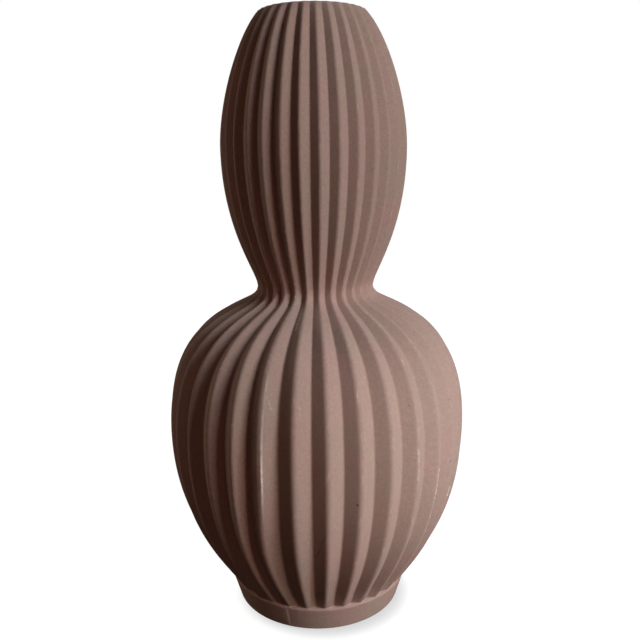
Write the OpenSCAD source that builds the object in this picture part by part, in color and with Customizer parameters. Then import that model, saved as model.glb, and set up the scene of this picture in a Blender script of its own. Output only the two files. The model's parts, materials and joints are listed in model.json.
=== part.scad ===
// Ribbed double-bulb vase in slip-cast stoneware, standing on four small pads.
// A slim upper bulb narrows to a waist and opens into a wide belly on a plain foot band.
// Pleats with flat flanks run unbroken from the lip to the foot band. Inside is a smooth glazed cavity.
// The axis is Z, the pads stand on z = 0, and the front is the rib crest that faces -Y.

/* [Outline] */
// Height of the fired body from its foot to its lip
body_h = 300; // [285:1:330]
// Diameter of the belly over the rib crests
belly_d = 153; // [138:1:168]
// Height of the widest point of the belly as a share of the body's height
belly_z_share = 0.323; // [0.29:0.001:0.36]
// Diameter of the waist over the rib crests
waist_d = 59; // [48:1:72]
// Height of the waist as a share of the body's height
waist_z_share = 0.563; // [0.52:0.001:0.6]
// Diameter of the upper bulb over the rib crests
bulb_d = 92; // [80:1:104]
// Height of the widest point of the upper bulb as a share of the body's height
bulb_z_share = 0.79; // [0.75:0.001:0.83]
// Diameter of the lip over the rib crests
lip_d = 52; // [44:1:64]
// Lean of the outline towards the axis where it meets the lip, in degrees from upright
lip_lean = 43; // [25:1:55]
// Lean of the outline away from the axis where it leaves the foot band, in degrees from upright
flare_lean = 34; // [20:1:45]

/* [Ribs] */
// Number of ribs
ribs = 32; // [24:2:40]
// Slope of a rib's flat flanks against the round of the body, in degrees
flank_slope = 30.5; // [15:0.5:40]
// Height of the seam line that the two-part mould leaves along two rib crests
seam_t = 0.4; // [0.1:0.1:0.8]

/* [Wall] */
// Wall thickness behind the valleys between the ribs
wall_t = 5; // [3.5:0.1:7]
// Thickness of the floor of the cavity
floor_t = 6; // [4:0.5:8]
// Radius that rounds the lip's two edges
lip_edge_r = 1.2; // [0.6:0.1:1.8]
// Radius between the floor and the wall of the cavity
floor_fillet_r = 9; // [4:0.5:14]

/* [Foot] */
// Height of the plain foot band
foot_h = 14; // [12:0.5:20]
// Diameter of the foot band at its top
foot_top_d = 95; // [88:1:102]
// Diameter of the foot band at its underside
foot_d = 87; // [80:1:94]
// Width of the ring that the foot stands on
foot_ring_w = 10; // [9:0.5:14]
// Depth of the hollow inside the foot ring
foot_hollow_h = 4; // [2:0.5:5]
// Radius that rounds the edges of the foot ring
foot_edge_r = 1; // [0.4:0.1:1.2]
// Step from the foot band in to the rib crests above it
foot_step = 0.3; // [0.2:0.1:1]

/* [Glaze lining] */
// Thickness of the glaze inside the cavity
glaze_t = 0.5; // [0.3:0.1:1]

/* [Pads] */
// Diameter of a pad
pad_d = 7; // [5:0.5:7.5]
// Thickness of a pad
pad_t = 1; // [0.5:0.1:2]

/* [Hidden] */
$fn = 96;
clay_color = [0.55, 0.43, 0.38];
glaze_color = [0.86, 0.83, 0.78];
pad_color = [0.88, 0.89, 0.88];

// Front crest of the ribs, and the crest with the mould's seam, two ribs to the left of it
front_angle = -90;
seam_rib = ribs - 2;
// Shares of a rib's pitch taken by the round of its crest and by the round of a valley
crest_share = 0.21;
valley_share = 0.09;
// Pull of the outline at the two ends of each stretch, as shares of the stretch's height
low_pull_shares = [0.24, 0.51];
shoulder_pull_shares = [0.92, 0.18];
neck_pull_shares = [0.10, 0.60];
top_pull_shares = [0.34, 0.25];
// Rings of facets in each stretch of the outline, and in a rounded edge
low_steps = 7;
shoulder_steps = 12;
neck_steps = 8;
top_steps = 7;
edge_steps = 2;
fillet_steps = 6;
// Crowding of the rings towards the belly and towards the tight bend of the waist
belly_crowding = 0.85;
waist_crowding = 1.25;
// Greatest depth of a flute, measured level where the outline leans, as a share of its depth where it is upright
deepest_flute_share = 1.7;
// Depth to which the ribbed part is bedded in the foot band, and overrun of the cut at the mouth
bed_h = 2;
overrun = 2;
pads = 4;
first_pad_angle = 45;

// Drop below the crest where the crest's round, the flank and the valley's round end, as shares of a pitch
crest_drop_share = crest_share / 2 * tan(flank_slope / 2);
flank_drop_share = crest_drop_share + (1 - crest_share - valley_share) / 2 * tan(flank_slope);
valley_drop_share = flank_drop_share + valley_share / 2 * tan(flank_slope / 2);
// Depth of a valley as a share of the radius at the crest, where the outline is upright
valley_depth_share = valley_drop_share * 2 * PI / ribs;

// Stations of the outline over the crests, as [radius, height]
foot_top = [foot_top_d / 2 - foot_step, foot_h];
belly = [belly_d / 2, body_h * belly_z_share];
waist = [waist_d / 2, body_h * waist_z_share];
bulb = [bulb_d / 2, body_h * bulb_z_share];
lip = [lip_d / 2, body_h];

// Height of a stretch, and the direction that leans from upright by an angle
function rise(low, high) = high[1] - low[1];
function leaning(angle) = [sin(angle), cos(angle)];
function unit(v) = v / norm(v);

// The four stretches of the outline, each with two end points and two points that pull the curve
low_stretch = [
    foot_top,
    foot_top + low_pull_shares[0] * rise(foot_top, belly) * leaning(flare_lean),
    belly - low_pull_shares[1] * rise(foot_top, belly) * leaning(0),
    belly
];
shoulder_stretch = [
    belly,
    belly + shoulder_pull_shares[0] * rise(belly, waist) * leaning(0),
    waist - shoulder_pull_shares[1] * rise(belly, waist) * leaning(0),
    waist
];
neck_stretch = [
    waist,
    waist + neck_pull_shares[0] * rise(waist, bulb) * leaning(0),
    bulb - neck_pull_shares[1] * rise(waist, bulb) * leaning(0),
    bulb
];
top_stretch = [
    bulb,
    bulb + top_pull_shares[0] * rise(bulb, lip) * leaning(0),
    lip - top_pull_shares[1] * rise(bulb, lip) * leaning(-lip_lean),
    lip
];

// Point and direction at share t of a stretch
function curve_point(p, t) =
    pow(1 - t, 3) * p[0] + 3 * t * pow(1 - t, 2) * p[1] + 3 * t * t * (1 - t) * p[2] + pow(t, 3) * p[3];
function curve_direction(p, t) =
    unit(pow(1 - t, 2) * (p[1] - p[0]) + 2 * t * (1 - t) * (p[2] - p[1]) + t * t * (p[3] - p[2]));

// Every ring of the outline as [stretch, share along it]
outline_places = [
    for (i = [0:low_steps - 1]) [low_stretch, pow(i / low_steps, belly_crowding)],
    for (i = [0:shoulder_steps - 1]) [shoulder_stretch, 1 - pow(1 - i / shoulder_steps, waist_crowding)],
    for (i = [0:neck_steps - 1]) [neck_stretch, pow(i / neck_steps, waist_crowding)],
    for (i = [0:top_steps]) [top_stretch, i / top_steps]
];
crest_line = [for (place = outline_places) curve_point(place[0], place[1])];

// Flutes keep their depth square to the wall, so a level ring cuts them deeper where the wall leans
function deepening(place) = min(1 / curve_direction(place[0], place[1])[1], deepest_flute_share);
deepening_line = [for (place = outline_places) deepening(place)];

// Wall of the cavity: the valley line moved square inwards by a thickness
function inner_point(place, thickness) =
    let (point = curve_point(place[0], place[1]), direction = curve_direction(place[0], place[1]))
    [point[0] * (1 - valley_depth_share * deepening(place)), point[1]] + thickness * [-direction[1], direction[0]];

// Arc that rounds the corner b between the points a and c
function rounded(a, b, c, radius, steps) =
    let (u = unit(a - b), w = unit(c - b), half = acos(u * w) / 2)
    let (centre = b + unit(u + w) * radius / sin(half))
    let (from = b + u * radius / tan(half) - centre, to = b + w * radius / tan(half) - centre)
    [for (i = [0:steps]) centre + radius * unit(from * (1 - i / steps) + to * i / steps)];

// One ring of points round the ribs, with three points on each crest and two in each valley
rib_places = [
    for (rib = [0:ribs - 1])
        for (place = [
            [-crest_share / 2, crest_drop_share, 0],
            [0, 0, rib % (ribs / 2) == seam_rib % (ribs / 2) ? seam_t : 0],
            [crest_share / 2, crest_drop_share, 0],
            [(1 - valley_share) / 2, flank_drop_share, 0],
            [(1 + valley_share) / 2, flank_drop_share, 0]
        ])
            [front_angle + (rib + place[0]) * 360 / ribs, place[1] * 2 * PI / ribs, place[2]]
];
function rib_ring(point, deepening) = [
    for (place = rib_places)
        let (radius = point[0] * (1 - place[1] * deepening) + place[2])
            [radius * cos(place[0]), radius * sin(place[0]), point[1]]
];

// Solid skinned over a stack of rings, closed by a fan at each end
module loft(rings) {
    sides = len(rings[0]);
    last = len(rings) - 1;
    low_centre = sides * len(rings);
    points = [
        for (ring = rings) each ring,
        [0, 0, rings[0][0][2]],
        [0, 0, rings[last][0][2]]
    ];
    faces = [
        for (k = [0:last - 1], i = [0:sides - 1])
            let (a = k * sides + i, b = k * sides + (i + 1) % sides)
                each [[a, a + sides, b], [b, a + sides, b + sides]],
        for (i = [0:sides - 1]) [low_centre, i, (i + 1) % sides],
        for (i = [0:sides - 1]) [low_centre + 1, last * sides + (i + 1) % sides, last * sides + i]
    ];
    polyhedron(points, faces, convexity = 8);
}

// Ribbed outside from just inside the foot band to the lip, whose outer edge is rounded
module ribbed_body() {
    last = len(crest_line) - 1;
    corner = crest_line[last];
    loft([
        rib_ring(foot_top - [bed_h, bed_h], deepening_line[0]),
        for (i = [0:last - 1]) rib_ring(crest_line[i], deepening_line[i]),
        for (point = rounded(crest_line[last - 1], corner, corner - [lip_edge_r, 0], lip_edge_r, edge_steps))
            rib_ring(point, deepening_line[last])
    ]);
}

// Plain foot band with a rounded foot ring round a shallow hollow
module foot_band() {
    foot_r = foot_d / 2;
    hollow_r = foot_r - foot_ring_w;
    corners = [[foot_top_d / 2, foot_h], [foot_r, 0], [hollow_r, 0], [hollow_r, foot_hollow_h], [0, foot_hollow_h]];
    rotate_extrude()
        polygon([
            [0, foot_h],
            corners[0],
            each rounded(corners[0], corners[1], corners[2], foot_edge_r, fillet_steps),
            each rounded(corners[1], corners[2], corners[3], foot_edge_r, fillet_steps),
            each rounded(corners[2], corners[3], corners[4], foot_edge_r, fillet_steps),
            corners[4]
        ]);
}

// Outline of the cavity from the middle of its floor up to the mouth, inside a coat of the given thickness
function cavity_line(coat) =
    let (wall = [for (place = outline_places) inner_point(place, wall_t + coat)])
    let (floor_z = foot_hollow_h + floor_t + coat, mouth = wall[len(wall) - 1])
    let (corner = [wall[0][0] - (wall[0][1] - floor_z) * tan(flare_lean), floor_z])
    [
        [0, floor_z],
        each rounded([0, floor_z], corner, wall[0], floor_fillet_r - coat, fillet_steps),
        each wall,
        [mouth[0], body_h - lip_edge_r]
    ];

// Fired clay body, cut open by the cavity and by the rounded inner edge of the lip
module vase_body() {
    line = cavity_line(0);
    throat = line[len(line) - 1];
    mouth_corner = [throat[0], body_h];
    translate([0, 0, pad_t])
        color(clay_color)
            difference() {
                union() {
                    ribbed_body();
                    foot_band();
                }
                rotate_extrude()
                    polygon([
                        each line,
                        each rounded(throat, mouth_corner, mouth_corner + [overrun, 0], lip_edge_r, fillet_steps),
                        [mouth_corner[0] + lip_edge_r, body_h + overrun],
                        [0, body_h + overrun]
                    ]);
            }
}

// Smooth coat of glaze that makes the cavity hold water
module glaze_lining() {
    outside = cavity_line(0);
    inside = cavity_line(glaze_t);
    translate([0, 0, pad_t])
        color(glaze_color)
            rotate_extrude()
                polygon([each outside, for (i = [len(inside) - 1:-1:0]) inside[i]]);
}

// Soft pad stuck under the foot ring
module foot_pad(number) {
    angle = first_pad_angle + (number - 1) * 360 / pads;
    color(pad_color)
        rotate([0, 0, angle])
            translate([(foot_d - foot_ring_w) / 2, 0, 0])
                cylinder(d = pad_d, h = pad_t);
}

vase_body();
glaze_lining();
foot_pad(1);  // foot_pad_1
foot_pad(2);  // foot_pad_2
foot_pad(3);  // foot_pad_3
foot_pad(4);  // foot_pad_4
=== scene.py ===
# Ribbed double-bulb stoneware vase: a matte sandy coat outside, glaze inside and four small pads.
# Lengths are in metres in the frame of the CAD model: Z is up, -Y is the front, the pads stand on z = 0.
import json
import math

import bpy
import numpy as np
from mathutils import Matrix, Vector

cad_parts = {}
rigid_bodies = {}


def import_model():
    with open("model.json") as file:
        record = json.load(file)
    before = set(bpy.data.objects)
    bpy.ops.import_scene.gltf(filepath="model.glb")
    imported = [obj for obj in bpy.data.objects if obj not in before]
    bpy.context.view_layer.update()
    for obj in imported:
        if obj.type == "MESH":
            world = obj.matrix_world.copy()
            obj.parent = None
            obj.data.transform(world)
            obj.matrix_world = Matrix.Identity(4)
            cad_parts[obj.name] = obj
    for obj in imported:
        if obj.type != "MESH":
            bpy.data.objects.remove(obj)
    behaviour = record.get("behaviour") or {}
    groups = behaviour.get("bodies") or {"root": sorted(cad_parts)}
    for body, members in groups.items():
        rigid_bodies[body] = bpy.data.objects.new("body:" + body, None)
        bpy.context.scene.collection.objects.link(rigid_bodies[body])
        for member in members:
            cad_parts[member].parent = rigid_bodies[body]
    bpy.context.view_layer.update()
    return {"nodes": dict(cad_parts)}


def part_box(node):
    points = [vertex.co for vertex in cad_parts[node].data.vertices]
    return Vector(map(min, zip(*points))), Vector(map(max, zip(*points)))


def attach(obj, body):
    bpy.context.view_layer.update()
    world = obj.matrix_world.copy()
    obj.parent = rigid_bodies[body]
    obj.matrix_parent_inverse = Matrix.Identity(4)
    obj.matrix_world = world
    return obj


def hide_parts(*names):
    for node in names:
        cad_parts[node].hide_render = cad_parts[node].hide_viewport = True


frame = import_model()
print("frame loaded:", sorted(frame["nodes"]))

mm = 0.001
bodyLow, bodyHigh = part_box("vase_body")
footZ = bodyLow.z                      # the fired body starts where the pads end
bodyHeight = bodyHigh.z - bodyLow.z

# The vase's own sizes, as they are in the CAD model
vase = {
    "bellyRadius": (bodyHigh.x - bodyLow.x) / 2,
    "bellyShare": 0.323,               # heights as shares of the body's height
    "waistRadius": 29.5 * mm,
    "waistShare": 0.563,
    "bulbRadius": 46 * mm,
    "bulbShare": 0.79,
    "lipRadius": 26 * mm,
    "lipLean": math.radians(43),
    "flareLean": math.radians(34),
    "pulls": ((0.24, 0.51), (0.92, 0.18), (0.10, 0.60), (0.34, 0.25)),
    "wall": 5 * mm,
    "floor": 6 * mm,
    "lipEdge": 1.2 * mm,
    "floorFillet": 9 * mm,
    "unevenness": 0.06 * mm,           # of the outside; its waves go inwards by up to four times this
}

foot = {
    "height": 14 * mm,
    "topRadius": 47.5 * mm,
    "lowRadius": 43.5 * mm,
    "ringWidth": 10 * mm,
    "hollow": 4 * mm,
    "edge": 1 * mm,
    "step": 0.3 * mm,
    "ledge": 1.1 * mm,                 # height over which the flutes run out on the band
    "trim": 0.5 * mm,                  # height of the sponged line under the band, where the clay is bare
}

ribs = {
    "count": 32,
    "flankSlope": math.radians(30.5),
    "crestShare": 0.21,                # shares of a rib's pitch taken by the rounds
    "valleyShare": 0.09,
    "deepest": 1.7,                    # most by which a flute is deepened, measured level, where the wall leans
    "frontAngle": math.radians(-90),
    # Share of the flutes' depth that is left: at the ledge's top, and as (heights, shares) above the ledge
    # and below the lip, whose edge is nearly a plain round
    "onLedge": 0.55,
    "overFoot": ((0, 2 * mm, 9 * mm), (0.55, 0.68, 1.0)),
    "underLip": ((0, 1.2 * mm, 4 * mm, 14 * mm), (0.3, 0.5, 0.8, 1.0)),
}
pitch = 2 * math.pi / ribs["count"]

# How finely the body's skin is divided
skin = {
    "rowStep": 2.6 * mm,
    "bandRows": (0.06, 0.2, 0.45, 0.7, 0.9, 0.98),
    "ledgeRows": 7,
    "lipRows": 6,
    "crestColumns": 7,
    "valleyColumns": 5,
    "besideCrest": 0.03,               # one column on a flank beside each round, in shares of a pitch from it
    "besideValley": 0.035,
    "insideEvery": 4,                  # the cavity has one column for so many outside
}


def cubicPoint(points, share):
    # Cubic curve: the four points weighted by (1-t)^3, 3t(1-t)^2, 3t^2(1-t) and t^3
    t = share[:, None]
    near = (1 - t) ** 3 * points[0] + 3 * t * (1 - t) ** 2 * points[1]
    return near + 3 * t * t * (1 - t) * points[2] + t ** 3 * points[3]


def cubicDirection(points, share):
    # Unit vector along the same curve, from its derivative
    t = share[:, None]
    first, middle, last = points[1] - points[0], points[2] - points[1], points[3] - points[2]
    along = (1 - t) ** 2 * first + 2 * t * (1 - t) * middle + t * t * last
    return along / np.linalg.norm(along, axis=1)[:, None]


def leaning(angle):
    # Unit vector upwards that leans out by the angle
    return np.array([math.sin(angle), math.cos(angle)])


def outlineStretches():
    # Four cubic stretches through foot band, belly, waist, bulb and lip, as (radius, height) over the crests
    footTop = np.array([foot["topRadius"] - foot["step"], foot["height"]])
    belly = np.array([vase["bellyRadius"], bodyHeight * vase["bellyShare"]])
    waist = np.array([vase["waistRadius"], bodyHeight * vase["waistShare"]])
    bulb = np.array([vase["bulbRadius"], bodyHeight * vase["bulbShare"]])
    lip = np.array([vase["lipRadius"], bodyHeight])
    stations = [footTop, belly, waist, bulb, lip]
    leans = [leaning(angle) for angle in (vase["flareLean"], 0, 0, 0, -vase["lipLean"])]
    stretches = []
    for k, (pullLow, pullHigh) in enumerate(vase["pulls"]):
        low, high = stations[k], stations[k + 1]
        rise = high[1] - low[1]
        stretches.append([low, low + pullLow * rise * leans[k], high - pullHigh * rise * leans[k + 1], high])
    return stretches


def evenOutline(step):
    # The whole outline sampled at an even step along its length, with its direction at each sample
    places, ways = [], []
    for stretch in outlineStretches():
        dense = np.linspace(0, 1, 400)
        places.append(cubicPoint(stretch, dense))
        ways.append(cubicDirection(stretch, dense))
    places, ways = np.vstack(places), np.vstack(ways)
    length = np.concatenate([[0], np.cumsum(np.linalg.norm(np.diff(places, axis=0), axis=1))])
    wanted = np.linspace(0, length[-1], int(round(length[-1] / step)) + 1)
    at = lambda values: np.stack([np.interp(wanted, length, values[:, k]) for k in (0, 1)], axis=1)
    way = at(ways)
    return at(places), way / np.linalg.norm(way, axis=1)[:, None]


def deepening(ways):
    # Flutes keep their depth square to the wall, so measured level they grow by 1 / cosine of the wall's lean
    return np.minimum(1 / ways[:, 1], ribs["deepest"])


def rounded(before, corner, after, radius, steps):
    # Arc of the given radius that rounds a corner between two straight legs: its two touching points seen
    # from its centre, mixed by an even share and brought to the radius
    before, corner, after = (np.array(p, float) for p in (before, corner, after))
    u = (before - corner) / np.linalg.norm(before - corner)
    w = (after - corner) / np.linalg.norm(after - corner)
    half = math.acos(float(u @ w)) / 2
    centre = corner + (u + w) / np.linalg.norm(u + w) * radius / math.sin(half)
    first = corner + u * radius / math.tan(half) - centre
    last = corner + w * radius / math.tan(half) - centre
    share = np.linspace(0, 1, steps + 1)[:, None]
    arc = first * (1 - share) + last * share
    return centre + radius * arc / np.linalg.norm(arc, axis=1)[:, None]


def ribDrop(phase):
    # Drop below the crest in shares of a pitch. The slope of the section grows evenly over the crest's
    # round, stays at the flank's slope, and falls evenly to nothing over the valley's round.
    x = np.abs(phase)
    slope = math.tan(ribs["flankSlope"])
    crest, valley = ribs["crestShare"] / 2, ribs["valleyShare"] / 2
    onCrest = slope * np.minimum(x, crest) ** 2 / (2 * crest)
    onFlank = slope * np.clip(x - crest, 0, 0.5 - crest - valley)
    deep = np.clip(x - (0.5 - valley), 0, valley)
    return onCrest + onFlank + slope * (deep - deep ** 2 / (2 * valley))


def bodyColumns():
    # Columns round the vase: their angles, their drop below the crest as a share of the radius, their
    # closeness to the crest, and their place in pitches from the front crest. They crowd on the rounds of
    # crests and valleys, because the flanks between are nearly flat.
    crest, valley = ribs["crestShare"] / 2, ribs["valleyShare"] / 2
    onCrest = np.linspace(-crest, crest, skin["crestColumns"])
    onValley = 0.5 + np.linspace(-valley, valley, skin["valleyColumns"])
    besides = np.array([crest + skin["besideCrest"], 0.5 - valley - skin["besideValley"]])
    phases = np.concatenate([onCrest, besides, onValley, 1 - besides[::-1]])
    every = (np.arange(ribs["count"])[:, None] + phases[None, :]).ravel()
    folded = np.abs((every + 0.5) % 1 - 0.5)
    return ribs["frontAngle"] + every * pitch, ribDrop(folded) * pitch, 1 - 2 * folded, every


def footLine():
    # The plain foot from the hollow's middle out to the top of the band, as (radius, height)
    inner = foot["lowRadius"] - foot["ringWidth"]
    centre, hollowCorner = (0, foot["hollow"]), (inner, foot["hollow"])
    ringInner, ringOuter = (inner, 0), (foot["lowRadius"], 0)
    top = (foot["topRadius"], foot["height"])
    under = [
        np.array([[inner * share, foot["hollow"]] for share in (0.25, 0.55, 0.85)]),
        rounded(centre, hollowCorner, ringInner, foot["edge"], 4),
        rounded(hollowCorner, ringInner, ringOuter, foot["edge"], 4),
        rounded(ringInner, ringOuter, top, foot["edge"], 5),
    ]
    last = under[-1][-1]
    share = np.array(skin["bandRows"])[:, None]
    under.append(last * (1 - share) + (np.array(top) - [0, foot["ledge"] / 2]) * share)
    return np.vstack(under)


def rowGroup(line, share):
    # Rows whose plain round is also the round over the crests
    return np.column_stack([line[:, 0], line[:, 0], line[:, 1], share + 0 * line[:, 0]])


def bodyRows():
    # Rows of the outside from the hollow under the foot to the throat, each as (radius of the plain round,
    # radius over the crests, height, share of the ribs, deepening of the flutes)
    places, ways = evenOutline(skin["rowStep"])
    start, corner = places[0], places[-1]
    # On the ledge the flutes run out into the band: share of them = s (2 - s)
    across = np.linspace(0, 1, skin["ledgeRows"] + 1)[1:]
    rise = np.linspace(-0.5, 0.5, skin["ledgeRows"] + 1)[1:] * foot["ledge"]
    soft = across * (2 - across)
    crest = start[0] + rise * math.tan(vase["flareLean"])
    plain = foot["topRadius"] * (1 - soft) + crest * soft
    ledge = np.column_stack([plain, crest, start[1] + rise, ribs["onLedge"] * soft])
    # The outline goes up to the lip's rounded edge, and leaves out a row that would crowd it
    edge = rounded(places[-2], corner, corner - [vase["lipEdge"], 0], vase["lipEdge"], skin["lipRows"])
    keep = places[1:-1][places[1:-1, 1] < edge[0, 1] - 0.4 * mm]
    line = np.vstack([keep, edge])
    left = np.interp(line[:, 1] - start[1], *ribs["overFoot"])
    left = left * np.interp(bodyHeight - line[:, 1], *ribs["underLip"])
    mouth = throatRadius()
    inner = rounded((mouth + 2 * vase["lipEdge"], bodyHeight), (mouth, bodyHeight), (mouth, 0),
                    vase["lipEdge"], skin["lipRows"])
    rows = np.vstack([rowGroup(footLine(), 0), ledge, rowGroup(line, left), rowGroup(inner, 0)])
    return np.column_stack([rows, np.interp(rows[:, 2], places[:, 1], deepening(ways))])


def cavityLine(thickness, step=4 * mm):
    # The smooth cavity from its throat down to its floor's middle: the valley line moved square inwards
    places, ways = evenOutline(step)
    depth = ribDrop(np.array([0.5]))[0] * pitch * deepening(ways)
    valley = np.column_stack([places[:, 0] * (1 - depth), places[:, 1]])
    wall = valley + thickness * np.column_stack([-ways[:, 1], ways[:, 0]])
    floorZ = foot["hollow"] + vase["floor"] + thickness - vase["wall"]
    corner = np.array([wall[0, 0] - (wall[0, 1] - floorZ) * math.tan(vase["flareLean"]), floorZ])
    fillet = rounded((0, floorZ), corner, wall[0], vase["floorFillet"] - (thickness - vase["wall"]), 8)
    floorPlaces = np.array([[fillet[0, 0] * share, floorZ] for share in (0.3, 0.65)])
    return np.vstack([floorPlaces, fillet, wall])[::-1]


def throatRadius():
    # Radius of the cavity at the lip
    return cavityLine(vase["wall"])[0, 0]


def addObject(name, data):
    item = bpy.data.objects.new(name, data)
    bpy.context.scene.collection.objects.link(item)
    return item


def addMesh(name, points, faceGroups, attributes=None):
    # A mesh object from points and groups of faces, each group an array with one face in a row
    mesh = bpy.data.meshes.new(name)
    loops = np.concatenate([group.ravel() for group in faceGroups]).astype(np.int32)
    sizes = np.concatenate([np.full(len(group), group.shape[1]) for group in faceGroups]).astype(np.int32)
    starts = np.concatenate([[0], np.cumsum(sizes)[:-1]]).astype(np.int32)
    mesh.vertices.add(len(points))
    mesh.vertices.foreach_set("co", points.astype(np.float32).ravel())
    mesh.loops.add(len(loops))
    mesh.loops.foreach_set("vertex_index", loops)
    mesh.polygons.add(len(sizes))
    mesh.polygons.foreach_set("loop_start", starts)
    mesh.polygons.foreach_set("loop_total", sizes)
    mesh.polygons.foreach_set("use_smooth", np.ones(len(sizes), bool))
    for key, values in (attributes or {}).items():
        layer = mesh.attributes.new(key, "FLOAT", "POINT")
        layer.data.foreach_set("value", values.astype(np.float32).ravel())
    mesh.update(calc_edges=True)
    mesh.validate()
    return addObject(name, mesh)


def gridFaces(rows, columns, first=0):
    # Quads between neighbouring rows of points, closed round the columns
    i, j = np.meshgrid(np.arange(rows - 1), np.arange(columns), indexing="ij")
    a = first + i * columns + j
    b = first + i * columns + (j + 1) % columns
    return np.stack([a, b, b + columns, a + columns], axis=-1).reshape(-1, 4)


def fanFaces(ring, pole, rising):
    # Triangles from a pole to a ring of points
    after = np.roll(ring, -1)
    poles = np.full(len(ring), pole)
    return np.stack([poles, after, ring] if rising else [ring, after, poles], axis=1)


# The seam of the two-part mould. Distances beside it are in pitches, and the curves along it are
# (shares of the body's height, values).
seam = {
    "ribs": (30, 14),                  # crests that carry it, the front one first
    "round": 0.16,                     # half width of the wider round to which the crest was rubbed
    "roundAlong": ((0.06, 0.13, 0.4, 0.56, 0.8, 0.97), (0, 1, 1, 0.5, 0.5, 0)),
    "flashHeight": 0.38 * mm,          # the thin edge left beside the crest
    "flashSide": 0.0875,
    "flashWidth": 0.02,                # half width: the columns within it are raised
    "flashAlong": ((0.215, 0.24, 0.26, 0.29, 0.315, 0.33, 0.345, 0.37, 0.40, 0.43, 0.45, 0.47),
                   (0, 0.1, 0.25, 0.6, 0.8, 1, 0.6, 0.45, 0.3, 0.2, 0.4, 0)),
    "flakes": 140,                     # along the whole height
    "sway": 0.22,                      # most by which the ribs at the front seam stand aside
    "swayWidth": 0.8,
    "swayAlong": ((0.055, 0.10, 0.14, 0.18, 0.22, 0.26, 0.30, 0.48, 0.58),
                  (0, 0.6, 0.85, 1, 0.8, 0.56, 0.4, 0.34, 0)),
    "stepHeight": 0.24 * mm,           # the step on the foot band
    "stepSide": 0.13,
    "stepWidth": 0.1,
    "stepReach": 0.34,
    "stepAlong": ((1.2 * mm, 2.5 * mm, 12 * mm, 13.4 * mm), (0, 1, 1, 0)),  # (heights, shares)
}


def fromSeam(every):
    # Distance of the columns from the nearer seam crest
    return np.min([np.abs(every % ribs["count"] - rib) for rib in seam["ribs"]], axis=0)


def seamRounding(every, heights):
    # Drop over the rubbed round in shares of a pitch: slope x (x^2 / 2w + (w - c) / 2), which meets the flank
    # at w, the half width of this round, where c is that of a plain crest
    near = fromSeam(every)[None, :]
    plain = ribs["crestShare"] / 2
    along = np.interp(heights / bodyHeight, *seam["roundAlong"])[:, None]
    width = plain + (seam["round"] - plain) * along
    drop = math.tan(ribs["flankSlope"]) * (near ** 2 / (2 * width) + (width - plain) / 2)
    return np.where(near < width, drop, 0)


def seamFlash(every, heights):
    # Height of the flash, broken by small flakes, as a share of the highest
    rng = np.random.default_rng(7)
    onLine = fromSeam(every - seam["flashSide"]) < seam["flashWidth"]
    sizes = rng.uniform(0.6, 1.0, seam["flakes"])
    flakes = np.interp(heights, np.linspace(0, bodyHeight, seam["flakes"]), sizes)
    along = np.interp(heights / bodyHeight, *seam["flashAlong"])
    return onLine[None, :] * (flakes * along)[:, None]


def footSeam(every, heights):
    # On the plain band the mould's left half stands out a little at the front seam, rising towards it
    # as e^(d / reach) and ending in a low step
    gap = every - seam["ribs"][0] + seam["stepSide"]
    proud = seam["stepHeight"] * np.exp(np.minimum(gap, 0) / seam["stepReach"])
    proud = proud * np.interp(gap, [0, seam["stepWidth"]], [1, 0])
    return proud[None, :] * np.interp(heights, *seam["stepAlong"])[:, None]


def seamSway(every, heights):
    # Low on the belly the ribs next to the front seam stand a little to the left, most at the seam:
    # the shift falls off round the vase as exp(-(d / width)^2)
    half = ribs["count"] / 2
    gap = (every[None, :] - seam["ribs"][0] + half) % ribs["count"] - half
    along = np.interp(heights[:, None] / bodyHeight, *seam["swayAlong"])
    return seam["sway"] * np.exp(-(gap / seam["swayWidth"]) ** 2) * along


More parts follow.
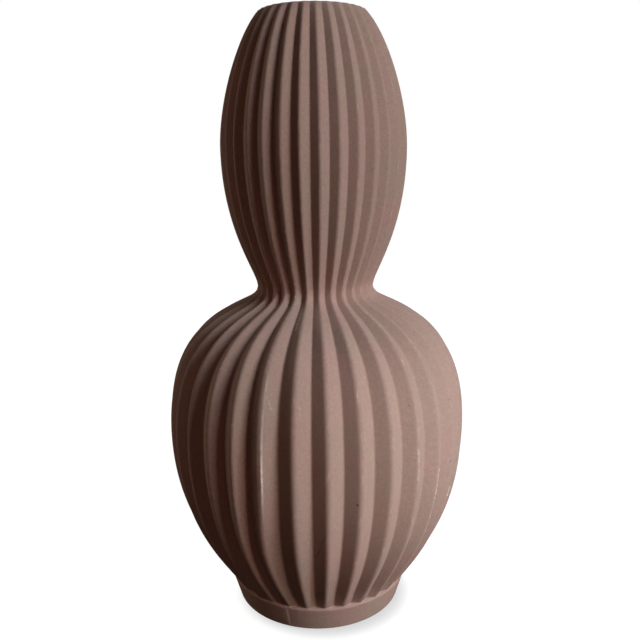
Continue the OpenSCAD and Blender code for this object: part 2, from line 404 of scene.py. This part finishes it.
def makeBody():
    # The shell as one closed skin. Outside, the radius is that over the crests x (1 - rib drop x deepening),
    # blended to the plain round by each row's share of the ribs, with the seam's flash and the band's step
    # added and two slow waves taken off. Each column is turned by the sway. Inside is the smooth cavity.
    angle, drop, nearCrest, every = bodyColumns()
    rows = bodyRows()
    levels = rows[:, 2]
    plain, crest, heights, share, deep = (rows[:, k][:, None] for k in range(5))
    flash = seamFlash(every, levels)
    drop = np.maximum(drop[None, :], seamRounding(every, levels) * pitch)
    radius = plain * (1 - share) + crest * (1 - drop * deep) * share + share * seam["flashHeight"] * flash
    onBand = (plain > foot["lowRadius"] - 0.5 * mm) * (share == 0)
    radius = radius + footSeam(every, levels) * onBand
    up = heights / bodyHeight
    waves = np.sin(2 * angle[None, :] + 9 * up) + np.sin(3 * angle[None, :] - 14 * up)
    radius = radius - vase["unevenness"] * (2 + waves) * (share > 0)
    turned = angle[None, :] - pitch * seamSway(every, levels)
    outside = np.stack([radius * np.cos(turned), radius * np.sin(turned), heights + 0 * radius], axis=-1)
    columns, insideEvery = len(angle), skin["insideEvery"]
    cavity = cavityLine(vase["wall"])[1:]
    inColumns = columns // insideEvery
    inAngle = angle[::insideEvery]
    inRadius = cavity[:, :1]
    inside = np.stack([inRadius * np.cos(inAngle), inRadius * np.sin(inAngle), cavity[:, 1:] + 0 * inAngle],
                      axis=-1)
    points = np.vstack([outside.reshape(-1, 3), inside.reshape(-1, 3),
                        [[0, 0, foot["hollow"]], [0, 0, cavity[-1, 1]]]])
    firstIn = outside.shape[0] * columns
    lowPole, highPole = len(points) - 2, len(points) - 1
    # The throat's last ring and the cavity's coarser first one are joined by faces of one more point a side
    lastRing = firstIn - columns + np.arange(columns)
    group = np.arange(inColumns)
    join = np.column_stack([lastRing[(insideEvery * group[:, None] + np.arange(insideEvery + 1)) % columns],
                            firstIn + (group + 1) % inColumns, firstIn + group])
    faces = [
        gridFaces(outside.shape[0], columns),
        join,
        gridFaces(inside.shape[0], inColumns, firstIn),
        fanFaces(np.arange(columns), lowPole, True),
        fanFaces(firstIn + (inside.shape[0] - 1) * inColumns + group, highPole, False),
    ]
    inHollow = (heights <= foot["hollow"]) & (plain <= foot["lowRadius"] - foot["ringWidth"])
    layers = {"crest": nearCrest[None, :] * share, "seam": flash * share, "bare": (heights < foot["trim"]) | inHollow}
    none = np.zeros(len(points) - firstIn)
    layers = {key: np.concatenate([(values + 0 * radius).ravel(), none]) for key, values in layers.items()}
    return addMesh("ribbedBody", points + [0, 0, footZ], faces, layers)


body = makeBody()
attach(body, "root")
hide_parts("vase_body")
bodyMesh = body.data
print("body:", len(bodyMesh.vertices), "points,", len(bodyMesh.loops) - 2 * len(bodyMesh.polygons), "triangles")

camera = {
    "distance": 372.2 * mm,            # from the vase's axis
    "height": 232.1 * mm,
    "heading": math.radians(-93.5),    # direction from the axis to the camera
    "turn": math.radians(-0.34),
    "down": math.radians(12.28),
    "roll": math.radians(-0.63),
    "lens": 41.3,
}


def placeCamera():
    # Aimed at the axis, then turned aside, tilted down and rolled
    heading, turn, down, roll = (camera[k] for k in ("heading", "turn", "down", "roll"))
    outward = np.array([math.cos(heading), math.sin(heading), 0])
    sideways = np.array([-math.sin(heading), math.cos(heading), 0])
    up = np.array([0, 0, 1.0])
    ahead = -outward * math.cos(turn) - sideways * math.sin(turn)
    right = sideways * math.cos(turn) - outward * math.sin(turn)
    look = ahead * math.cos(down) - up * math.sin(down)
    top = up * math.cos(down) + ahead * math.sin(down)
    matrix = np.eye(4)
    matrix[:3, 0] = right * math.cos(roll) + top * math.sin(roll)
    matrix[:3, 1] = top * math.cos(roll) - right * math.sin(roll)
    matrix[:3, 2] = -look
    matrix[:3, 3] = outward * camera["distance"] + up * camera["height"]
    data = bpy.data.cameras.new("camera")
    data.lens = camera["lens"]
    data.sensor_width = 36
    data.clip_start = 0.01
    item = addObject("camera", data)
    item.matrix_world = matrix.T.tolist()  # Blender takes it by columns
    bpy.context.scene.camera = item


def around(columns):
    # Even angles round the axis
    return np.arange(columns) * 2 * math.pi / columns


def turnedSkin(name, radii, heights, angles, centre=(0, 0)):
    # A closed skin turned about a vertical line: point = centre + radius x (cos, sin) of the angle, at its
    # height. Its rows run from a pole outwards, round and back to the axis, where a second pole closes it.
    columns = len(angles)
    across, along = centre[0] + radii * np.cos(angles), centre[1] + radii * np.sin(angles)
    poles = [[*centre, heights[0].mean()], [*centre, heights[-1].mean()]]
    points = np.vstack([np.stack([across, along, heights], axis=-1).reshape(-1, 3), poles])
    ring = np.arange(columns)
    faces = [
        gridFaces(len(radii), columns),
        fanFaces(ring, len(points) - 2, True),
        fanFaces((len(radii) - 1) * columns + ring, len(points) - 1, False),
    ]
    return addMesh(name, points, faces)


lining = {
    "thickness": 0.5 * mm,
    "bite": 0.08 * mm,                 # how far the glaze's back reaches into the clay
    "wave": 0.09 * mm,                 # unevenness of the melted surface
    "waveStart": 30 * mm,              # height where the waves begin, and over which they grow
    "edgeWave": 0.35 * mm,             # wandering of the glaze's edge under the lip
    "edgeZone": 4 * mm,                # height over which it wanders
    "columns": 144,
}


def makeLining():
    # Two lines a glaze's thickness apart, from the cavity's floor up to the lip, joined by a half round edge.
    # The inner one is moved by slow waves round the throat and down it, and the edge wanders up and down.
    back = cavityLine(vase["wall"] - lining["bite"], 3 * mm)[::-1]
    face = cavityLine(vase["wall"] + lining["thickness"], 3 * mm)
    edge = bodyHeight - vase["lipEdge"] - lining["thickness"]
    share = np.linspace(0, math.pi, 9)[:, None]
    middle, half = (back[-1, 0] + face[0, 0]) / 2, (back[-1, 0] - face[0, 0]) / 2
    bead = np.hstack([middle + half * np.cos(share), edge + lining["thickness"] * np.sin(share)])
    line = np.vstack([back, bead, face])
    angles = around(lining["columns"])
    radii, heights = line[:, :1] + 0 * angles, line[:, 1:] + 0 * angles
    turns = heights / bodyHeight * 2 * math.pi
    wave = np.sin(3 * angles + 4 * turns) + np.sin(5 * angles - 7 * turns) + np.sin(2 * angles + 11 * turns)
    onFace = np.clip((np.arange(len(line)) - len(back) - len(bead)) / 4, 0, 1)[:, None]
    onWall = np.clip((heights - lining["waveStart"]) / lining["waveStart"], 0, 1)
    radii = radii - lining["wave"] / 3 * (3 + wave) * onFace * onWall
    wander = np.sin(2 * angles + 0.6) + 0.6 * np.sin(5 * angles) + 0.3 * np.sin(11 * angles + 2)
    nearEdge = np.clip((heights - edge + lining["edgeZone"]) / lining["edgeZone"], 0, 1)
    heights = heights - lining["edgeWave"] / 2 * (1.4 + wander * 0.7) * nearEdge
    return turnedSkin("glazeCoat", radii, heights + footZ, angles)


glazeCoat = makeLining()
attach(glazeCoat, "root")
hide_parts("glaze_lining")
print("lining made")

pads = {
    "radius": 3.5 * mm,
    "height": footZ,                   # a pad fills the gap between the table and the foot
    "lowEdge": 0.28 * mm,
    "topEdge": 0.168 * mm,
    "swell": 0.1 * mm,                 # by which the side bulges at its middle
    "ring": 38.5 * mm,                 # radius of the circle the pads stand on
    "firstAngle": math.radians(45),
    "count": 4,
    "columns": 40,
}


def makePad(number):
    # A low disc with rounded edges, its side bulging as a half sine wave under the load
    radius, height = pads["radius"], pads["height"]
    line = np.vstack([
        [[radius * 0.35, 0], [radius * 0.7, 0]],
        rounded((0, 0), (radius, 0), (radius, height), pads["lowEdge"], 5),
        rounded((radius, 0), (radius, height), (0, height), pads["topEdge"], 4),
        [[radius * 0.7, height], [radius * 0.35, height]],
    ])
    line[:, 0] -= pads["swell"] * (1 - np.sin(math.pi * line[:, 1] / height)) * (line[:, 0] > radius * 0.8)
    angles = around(pads["columns"])
    place = pads["firstAngle"] + number * 2 * math.pi / pads["count"]
    centre = (pads["ring"] * math.cos(place), pads["ring"] * math.sin(place))
    radii, heights = line[:, :1] + 0 * angles, line[:, 1:] + 0 * angles
    return turnedSkin("padDisc" + str(number + 1), radii, heights, angles, centre)


padDiscs = [makePad(number) for number in range(pads["count"])]
for number, disc in enumerate(padDiscs):
    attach(disc, "root")
    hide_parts("foot_pad_" + str(number + 1))
print("pads made:", len(padDiscs))


def addNode(tree, kind, inputs=None, **settings):
    # A node with its settings; each input is given a plain value or another node's output
    item = tree.nodes.new(kind)
    for key, value in settings.items():
        setattr(item, key, value)
    for key, value in (inputs or {}).items():
        if isinstance(value, bpy.types.NodeSocket):
            tree.links.new(value, item.inputs[key])
        else:
            item.inputs[key].default_value = value
    return item


def figure(tree, operation, first, second=0.0, clamp=False):
    return addNode(tree, "ShaderNodeMath", {0: first, 1: second}, operation=operation, use_clamp=clamp).outputs[0]


def times(tree, first, second):
    return figure(tree, "MULTIPLY", first, second)


def greatest(tree, values):
    # The largest of several masks
    result = values[0]
    for value in values[1:]:
        result = figure(tree, "MAXIMUM", result, value)
    return result


def ranged(tree, value, low, high, newLow=0.0, newHigh=1.0, smooth=False):
    # The value carried from low..high to newLow..newHigh and held at the ends
    inputs = {"Value": value, "From Min": low, "From Max": high, "To Min": newLow, "To Max": newHigh}
    kind = "SMOOTHSTEP" if smooth else "LINEAR"
    return addNode(tree, "ShaderNodeMapRange", inputs, interpolation_type=kind).outputs["Result"]


def cloud(tree, vector, size, detail=2.0, roughness=0.5, squeeze=None):
    # Noise whose patches are about one size across, in metres
    if squeeze:
        vector = addNode(tree, "ShaderNodeMapping", {"Vector": vector, "Scale": squeeze}).outputs[0]
    scale = figure(tree, "DIVIDE", 1.0, size)
    inputs = {"Vector": vector, "Scale": scale, "Detail": detail, "Roughness": roughness}
    return addNode(tree, "ShaderNodeTexNoise", inputs).outputs["Fac"]


def blended(tree, amount, first, second, kind="MIX"):
    # Two colours mixed; each is an (r, g, b) or another node's output
    mixer = addNode(tree, "ShaderNodeMix", {0: amount}, data_type="RGBA", blend_type=kind)
    for index, value in ((6, first), (7, second)):
        if isinstance(value, bpy.types.NodeSocket):
            tree.links.new(value, mixer.inputs[index])
        else:
            mixer.inputs[index].default_value = (*value, 1)
    return mixer.outputs[2]


def newGroup(name, inputs, outputs):
    # A node group with float inputs, or vector ones where no value is given, and float outputs
    group = bpy.data.node_groups.new(name, "ShaderNodeTree")
    for title, value in inputs.items():
        kind = "NodeSocketVector" if value is None else "NodeSocketFloat"
        socket = group.interface.new_socket(title, in_out="INPUT", socket_type=kind)
        if value is not None:
            socket.default_value = value
    for title in outputs:
        group.interface.new_socket(title, in_out="OUTPUT", socket_type="NodeSocketFloat")
    return group, group.nodes.new("NodeGroupInput"), group.nodes.new("NodeGroupOutput")


def makeSandGrain():
    # Fine sand in a fired surface: Relief is its height from 0 to 1, Speck is 1 on single darker grains and
    # Pale is 1 on single lighter ones
    group, given, result = newGroup("sandGrain", {"Vector": None, "Size": 0.0006}, ("Relief", "Speck", "Pale"))
    vector, size = given.outputs["Vector"], given.outputs["Size"]
    fine = cloud(group, vector, size, 2.0, 0.6)
    coarse = cloud(group, vector, times(group, size, 3.2), 1.0)
    relief = figure(group, "ADD", times(group, fine, 0.7), times(group, coarse, 0.3))
    cells = addNode(group, "ShaderNodeTexVoronoi", {
        "Vector": vector, "Scale": figure(group, "DIVIDE", 0.55, size), "Randomness": 1.0})
    near = ranged(group, cells.outputs["Distance"], 0.12, 0.3, 1.0, 0.0)
    pick = addNode(group, "ShaderNodeSeparateColor", {"Color": cells.outputs["Color"]})
    dark = figure(group, "GREATER_THAN", pick.outputs[0], 0.86)
    light = figure(group, "GREATER_THAN", pick.outputs[1], 0.9)
    group.links.new(relief, result.inputs["Relief"])
    group.links.new(times(group, near, dark), result.inputs["Speck"])
    group.links.new(times(group, near, light), result.inputs["Pale"])
    return group


def makeKilnDrift():
    # Slow change of tone from the kiln's fire: Warm and Cool are two independent soft masks from 0 to 1
    group, given, result = newGroup("kilnDrift", {"Vector": None, "Patch": 0.02}, ("Warm", "Cool"))
    vector, patch = given.outputs["Vector"], given.outputs["Patch"]
    moved = addNode(group, "ShaderNodeMapping", {"Vector": vector, "Location": (0.31, -0.17, 0.23)}).outputs[0]
    warm = ranged(group, cloud(group, vector, patch, 3.0, 0.55), 0.38, 0.62, smooth=True)
    cool = ranged(group, cloud(group, moved, times(group, patch, 0.6), 3.0, 0.55), 0.4, 0.66, smooth=True)
    group.links.new(warm, result.inputs["Warm"])
    group.links.new(cool, result.inputs["Cool"])
    return group


sandGrain = makeSandGrain()
kilnDrift = makeKilnDrift()
print("shared groups made")


def newMaterial(name):
    material = bpy.data.materials.new(name)
    material.use_nodes = True
    tree = material.node_tree
    place = addNode(tree, "ShaderNodeTexCoord").outputs["Object"]
    return material, tree, tree.nodes["Principled BSDF"], place


def useGroup(tree, group, **inputs):
    inputs = {key.capitalize(): value for key, value in inputs.items()}
    return addNode(tree, "ShaderNodeGroup", inputs, node_tree=group).outputs


def vectorFigure(tree, operation, first, second, output="Vector"):
    return addNode(tree, "ShaderNodeVectorMath", {0: first, 1: second}, operation=operation).outputs[output]


def spots(tree, place, marks):
    # The strongest of round spots, each (centre, radius, strength) in millimetres: its full strength near
    # the centre, falling to nothing over the radius
    masks = []
    for centre, radius, strength in marks:
        gap = vectorFigure(tree, "DISTANCE", place, tuple(value * mm for value in centre), "Value")
        masks.append(times(tree, ranged(tree, gap, radius * mm * 0.4, radius * mm, 1.0, 0.0, smooth=True), strength))
    return greatest(tree, masks)


def strokes(tree, place, marks):
    # The strongest of straight strokes, each (start, end, width, strength) in millimetres: distance of the
    # surface from its nearest point on the stroke, which lies at the clamped share along it
    masks = []
    for start, end, width, strength in marks:
        start, end = np.array(start) * mm, np.array(end) * mm
        way = end - start
        away = vectorFigure(tree, "SUBTRACT", place, tuple(start))
        along = vectorFigure(tree, "DOT_PRODUCT", away, tuple(way / (way @ way)), "Value")
        share = figure(tree, "ADD", along, 0.0, clamp=True)
        nearest = addNode(tree, "ShaderNodeVectorMath", {0: tuple(way), "Scale": share}, operation="SCALE").outputs[0]
        gap = vectorFigure(tree, "DISTANCE", away, nearest, "Value")
        masks.append(times(tree, ranged(tree, gap, width * mm * 0.2, width * mm, 1.0, 0.0, smooth=True), strength))
    return greatest(tree, masks)


coat = {
    "colour": (0.400, 0.277, 0.236),       # matte rose brown slip
    "warm": (0.410, 0.271, 0.236),         # where the fire turned it pinker
    "cool": (0.380, 0.280, 0.232),         # where it went greyer, towards olive
    "worn": (0.560, 0.430, 0.370),         # rubbed crests
    "flash": (0.930, 0.780, 0.690),        # the seam's thin edge, and chips
    "bare": (0.430, 0.270, 0.190),         # unslipped clay under the foot
    "grain": 0.55 * mm,
    "patch": 34 * mm,
    "roughness": (0.82, 0.95),
    "coolShare": 0.8,
    "rubbed": 0.55,                        # most by which a crest takes the worn colour
    "rubPatch": 14 * mm,
    "rubFleck": 1.6 * mm,
    "flashFleck": 3 * mm,
    "chipFleck": 1.3 * mm,
    "bareEdge": 3 * mm,                    # wandering of the bare clay's edge
    "tone": (0.87, 1.13),                  # factors on the colour, from the sand's hollows to its tops: partly the grain's own tone, partly painted shade in the hollows and painted light on the tops
    "darkSpeck": 0.74,
    "paleSpeck": 1.22,
    "relief": 0.15 * mm,
    "dimple": 5 * mm,                      # size of the soft dimples under the sand
    "dimpleDepth": 0.8,                    # depths as shares of the relief
    "markDepth": 1.5,
    # Single marks of this vase, in millimetres
    "bubbles": (                           # burst ones, as (centre, radius, darkness of the painted shade in the pit)
        ((12.9, -74.0, 83.0), 0.85, 0.6),
        ((62.0, -43.2, 88.6), 0.6, 0.4),
        ((60.9, -42.1, 119.8), 0.6, 0.35),
        ((37.5, -61.3, 124.2), 0.5, 0.3),
        ((21.9, -69.5, 101.0), 0.5, 0.3),
    ),
    "scratches": (                         # as (start, end, width, darkness of the painted shade in the groove)
        ((-1.3, -72.8, 68.1), (-5.5, -65.5, 53.2), 0.5, 0.3),
        ((-5.5, -65.5, 53.2), (-10.0, -60.7, 39.3), 0.5, 0.22),
    ),
    "chips": (                             # as (start, end, width, paleness)
        ((41.9, -63.6, 104.4), (42.05, -63.4, 98.0), 1.2, 0.22),
        ((42.05, -63.4, 98.0), (42.3, -63.2, 87.0), 0.5, 0.35),
        ((54.2, -53.5, 90.0), (52.6, -52.6, 74.0), 0.55, 0.4),
        ((65.3, -30.0, 69.0), (64.4, -29.5, 64.0), 0.7, 0.6),
        ((-8.1, -31.9, 163.8), (-12.1, -45.0, 156.3), 0.5, 0.6),
        ((-25.9, -64.8, 131.7), (-23.5, -66.4, 124.8), 0.45, 0.25),
        ((-12.2, -69.9, 128.4), (-11.5, -71.4, 121.6), 0.45, 0.25),
        ((13.6, -68.1, 134.2), (13.4, -70.1, 129.4), 0.5, 0.35),
        ((-11.6, -28.6, 175.3), (-11.2, -27.5, 168.3), 0.45, 0.6),
    ),
}


def makeCoat():
    material, tree, shader, place = newMaterial("sandyCoat")
    grain = useGroup(tree, sandGrain, vector=place, size=coat["grain"])
    drift = useGroup(tree, kilnDrift, vector=place, patch=coat["patch"])
    mask = lambda name: addNode(tree, "ShaderNodeAttribute", attribute_name=name).outputs["Fac"]
    colour = blended(tree, drift["Warm"], coat["colour"], coat["warm"])
    colour = blended(tree, times(tree, drift["Cool"], coat["coolShare"]), colour, coat["cool"])
    # Crests are rubbed in spots, where a soft cloud passes a fine one that is drawn out upwards
    patches = ranged(tree, cloud(tree, place, coat["rubPatch"]), 0.50, 0.62)
    flecks = ranged(tree, cloud(tree, place, coat["rubFleck"], squeeze=(1, 1, 0.4)), 0.48, 0.62)
    rub = times(tree, times(tree, ranged(tree, mask("crest"), 0.84, 0.99), patches), flecks)
    colour = blended(tree, times(tree, rub, coat["rubbed"]), colour, coat["worn"])
    # The flash and the chips are pale, and a cloud breaks each up
    flecks = ranged(tree, cloud(tree, place, coat["flashFleck"], 3.0), 0.36, 0.5, 0.5, 1.0)
    flash = times(tree, ranged(tree, mask("seam"), 0.02, 0.8), flecks)
    flecks = ranged(tree, cloud(tree, place, coat["chipFleck"]), 0.44, 0.54)
    chips = times(tree, strokes(tree, place, coat["chips"]), flecks)
    colour = blended(tree, greatest(tree, [flash, chips]), colour, coat["flash"])
    bareness = ranged(tree, figure(tree, "ADD", mask("bare"), cloud(tree, place, coat["bareEdge"])), 0.9, 1.15)
    colour = blended(tree, bareness, colour, coat["bare"])
    # Sand, specks and marks set the tone; the marks darken the colour as painted shade in their pits and grooves
    marks = greatest(tree, [spots(tree, place, coat["bubbles"]), strokes(tree, place, coat["scratches"])])
    # The sand's hollows are painted darker and its tops lighter, following the same relief as the bump
    tone = ranged(tree, grain["Relief"], 0.3, 0.7, *coat["tone"])
    tone = times(tree, tone, ranged(tree, grain["Speck"], 0, 1, 1.0, coat["darkSpeck"]))
    tone = times(tree, tone, ranged(tree, grain["Pale"], 0, 1, 1.0, coat["paleSpeck"]))
    # Painted shade: the colour goes dark in the bubbles' pits and along the scratches
    tone = times(tree, tone, ranged(tree, marks, 0, 1, 1.0, 0.0))
    shade = addNode(tree, "ShaderNodeCombineXYZ", {0: tone, 1: tone, 2: tone}).outputs[0]
    tree.links.new(blended(tree, 1.0, colour, shade, "MULTIPLY"), shader.inputs["Base Color"])
    tree.links.new(ranged(tree, grain["Relief"], 0.3, 0.7, *coat["roughness"]), shader.inputs["Roughness"])
    shader.inputs["Specular IOR Level"].default_value = 0
    height = figure(tree, "SUBTRACT", grain["Relief"], times(tree, marks, coat["markDepth"]))
    height = figure(tree, "ADD", height, times(tree, cloud(tree, place, coat["dimple"]), coat["dimpleDepth"]))
    bump = addNode(tree, "ShaderNodeBump", {"Height": height, "Strength": 1.0, "Distance": coat["relief"]})
    tree.links.new(bump.outputs["Normal"], shader.inputs["Normal"])
    return material


glaze = {
    "colour": (0.72, 0.66, 0.58),          # cream glaze
    "grey": (0.60, 0.56, 0.50),            # where the fire dulled it
    "thin": (0.50, 0.37, 0.28),            # where it runs thin over the lip
    "speck": (0.30, 0.20, 0.14),
    "crack": (0.35, 0.27, 0.2),
    "crazing": 7 * mm,                     # width of the cells between the fine cracks
    "grain": 0.9 * mm,
    "patch": 20 * mm,
    "ripple": 9 * mm,
    "rippleDepth": 0.4 * mm,
    "roughness": (0.14, 0.24),
}


def makeGlaze():
    material, tree, shader, place = newMaterial("creamGlaze")
    grain = useGroup(tree, sandGrain, vector=place, size=glaze["grain"])
    drift = useGroup(tree, kilnDrift, vector=place, patch=glaze["patch"])
    height = addNode(tree, "ShaderNodeSeparateXYZ", {0: place}).outputs[2]
    height = figure(tree, "ADD", height, times(tree, cloud(tree, place, 4 * mm), 2.5 * mm))
    edge = footZ + bodyHeight - vase["lipEdge"]
    thin = ranged(tree, height, edge - 1.5 * mm, edge + 1.2 * mm, 0.0, 0.85, smooth=True)
    colour = blended(tree, thin, glaze["colour"], glaze["thin"])
    colour = blended(tree, times(tree, drift["Cool"], 0.25), colour, glaze["grey"])
    colour = blended(tree, times(tree, grain["Speck"], 0.5), colour, glaze["speck"])
    cells = addNode(tree, "ShaderNodeTexVoronoi", {"Vector": place, "Scale": 1 / glaze["crazing"]},
                    feature="DISTANCE_TO_EDGE")
    crack = ranged(tree, cells.outputs["Distance"], 0.0, 0.02, 1.0, 0.0)
    colour = blended(tree, times(tree, crack, 0.22), colour, glaze["crack"])
    tree.links.new(colour, shader.inputs["Base Color"])
    tree.links.new(ranged(tree, grain["Relief"], 0.3, 0.7, *glaze["roughness"]), shader.inputs["Roughness"])
    shader.inputs["Coat Roughness"].default_value = 0.08
    shader.inputs["Coat Weight"].default_value = 0.4
    ripple = cloud(tree, place, glaze["ripple"])
    bump = addNode(tree, "ShaderNodeBump", {"Height": ripple, "Strength": 0.5, "Distance": glaze["rippleDepth"]})
    tree.links.new(bump.outputs["Normal"], shader.inputs["Normal"])
    return material


rubber = {
    "colour": (0.80, 0.81, 0.80),
    "dust": (0.62, 0.58, 0.53),
    "speck": (0.40, 0.34, 0.30),
    "grain": 0.35 * mm,
    "dustPatch": 2.5 * mm,
    "roughness": (0.38, 0.6),              # clean, and dusty
    "relief": 0.04 * mm,
}


def makePadRubber():
    material, tree, shader, place = newMaterial("padRubber")
    grain = useGroup(tree, sandGrain, vector=place, size=rubber["grain"])
    dust = ranged(tree, cloud(tree, place, rubber["dustPatch"], 3.0), 0.42, 0.62)
    colour = blended(tree, times(tree, dust, 0.5), rubber["colour"], rubber["dust"])
    colour = blended(tree, times(tree, grain["Speck"], 0.5), colour, rubber["speck"])
    tree.links.new(colour, shader.inputs["Base Color"])
    tree.links.new(ranged(tree, dust, 0, 1, *rubber["roughness"]), shader.inputs["Roughness"])
    bump = addNode(tree, "ShaderNodeBump", {"Height": grain["Relief"], "Strength": 0.5, "Distance": rubber["relief"]})
    tree.links.new(bump.outputs["Normal"], shader.inputs["Normal"])
    return material


bodyMesh.materials.append(makeCoat())
glazeCoat.data.materials.append(makeGlaze())
padRubber = makePadRubber()
for disc in padDiscs:
    disc.data.materials.append(padRubber)
print("materials made")


studio = {
    # Height aimed at, degrees to the right of the camera, degrees up, distance, size, strength, colour
    "soft": {
        "windowLight": (0.13, 50, 15, 1.0, 0.3, 0.288, (1, 0.82, 0.71)),
        "highLight": (0.13, 50, 32, 1.0, 0.3, 0.202, (0.82, 0.91, 1)),
        "skyLight": (0.13, 62, 32, 1.0, 0.3, 0.263, (0.83, 0.96, 1)),
        "frontFill": (0.13, 5, 2, 1.0, 0.3, 0.042, (1, 0.3, 0.1)),
        "leftFill": (0.13, -110, 15, 1.0, 0.5, 0.21, (1, 0.78, 0.6)),
        "backFill": (0.13, 170, 25, 1.0, 0.4, 0.24, (0.88, 0.92, 1)),
    },
    # Narrow soft edged beams on the belly and the foot
    "beams": {
        "bellyBeam": (0.10, 55, 20, 0.8, 0.1, 0.19, (0.71, 0.86, 1)),
        "lowBeam": (0.06, 40, 20, 0.8, 0.1, 0.21, (1, 0.83, 0.73)),
        "footBeam": (0.02, 60, 20, 0.8, 0.1, 0.28, (0.76, 0.90, 1)),
    },
    "beamCone": math.radians(18),
    "evenLight": 0.017,                # strength of the even light from all round
    "floorHalf": 4,                    # half width of the floor
    # The floor's glow carries a painted shadow round the foot, centred on the point below
    "paintedShadowGlow": (0.62, 1.0),          # painted shadow: the glow the floor shows at the foot's edge, and away from it
    "paintedShadowReach": (0.038, 0.051),      # distances from its centre over which the painted shadow fades out
    "paintedShadowCentre": (0.003, -0.004, 0),
    "floorSeen": 0.15,                 # grey that takes the vase's shadow
    "floorDull": 0.06,                 # grey that throws light back at the vase
}


def placeLamp(name, kind, aimHeight, aside, up, distance, size, strength, colour):
    # A lamp aimed at the vase's axis; at strength 1 a white card facing it there renders white
    turn = camera["heading"] + math.radians(aside)
    rise = math.radians(up)
    way = Vector((math.cos(turn) * math.cos(rise), math.sin(turn) * math.cos(rise), math.sin(rise)))
    data = bpy.data.lights.new(name, kind)
    data.color = colour
    if kind == "AREA":
        data.shape = "DISK"
        data.size = size
        data.energy = strength * (math.pi * distance) ** 2
    else:
        data.shadow_soft_size = size / 2
        data.spot_size = studio["beamCone"]
        data.spot_blend = 1
        data.energy = strength * 4 * (math.pi * distance) ** 2
    lamp = addObject(name, data)
    lamp.location = Vector((0, 0, aimHeight)) + way * distance
    lamp.rotation_euler = way.to_track_quat("Z", "Y").to_euler()


placeCamera()
for name, values in studio["soft"].items():
    placeLamp(name, "AREA", *values)
for name, values in studio["beams"].items():
    placeLamp(name, "SPOT", *values)
print("camera and lamps placed")


def seenRays(tree):
    # 1 for the rays that show the background to the camera, directly or in something shiny or clear
    light = addNode(tree, "ShaderNodeLightPath")
    return greatest(tree, [light.outputs["Is " + kind + " Ray"] for kind in ("Camera", "Glossy", "Transmission")])


def makeFloorPaint():
    # White to the camera but for the vase's shadow, which is partly real and partly a painted shadow: the glow is
    # lowered near the foot by distance from a point under the vase. Dull to the light that it would throw back
    material = bpy.data.materials.new("paleFloorWithPaintedShadow")
    material.use_nodes = True
    tree = material.node_tree
    tree.nodes.remove(tree.nodes["Principled BSDF"])
    place = addNode(tree, "ShaderNodeTexCoord").outputs["Object"]
    away = vectorFigure(tree, "DISTANCE", place, studio["paintedShadowCentre"], "Value")
    # Painted shadow: the glow falls towards the foot
    strength = ranged(tree, away, *studio["paintedShadowReach"], *studio["paintedShadowGlow"], smooth=True)
    glow = addNode(tree, "ShaderNodeEmission", {"Color": (1, 1, 1, 1), "Strength": strength})
    pale, dull = (addNode(tree, "ShaderNodeBsdfDiffuse", {"Color": (grey, grey, grey, 1)})
                  for grey in (studio["floorSeen"], studio["floorDull"]))
    both = addNode(tree, "ShaderNodeAddShader", {0: pale.outputs[0], 1: glow.outputs[0]})
    mix = addNode(tree, "ShaderNodeMixShader", {0: seenRays(tree), 1: dull.outputs[0], 2: both.outputs[0]})
    tree.links.new(mix.outputs[0], tree.nodes["Material Output"].inputs["Surface"])
    return material


def makeFloor():
    half = studio["floorHalf"]
    mesh = bpy.data.meshes.new("floor")
    mesh.from_pydata([(-half, -half, 0), (half, -half, 0), (half, half, 0), (-half, half, 0)], [], [(0, 1, 2, 3)])
    mesh.materials.append(makeFloorPaint())
    return addObject("floor", mesh)


floor = makeFloor()
print("floor made")


def makeWorld():
    # White to the camera, and a faint even light to the vase
    world = bpy.data.worlds.new("studioWorld")
    bpy.context.scene.world = world
    world.use_nodes = True
    tree = world.node_tree
    background = tree.nodes["Background"]
    tree.links.new(ranged(tree, seenRays(tree), 0, 1, studio["evenLight"], 1), background.inputs["Strength"])
    background.inputs["Color"].default_value = (1, 1, 1, 1)


makeWorld()
bpy.context.scene.view_settings.view_transform = "Standard"
print("world made")
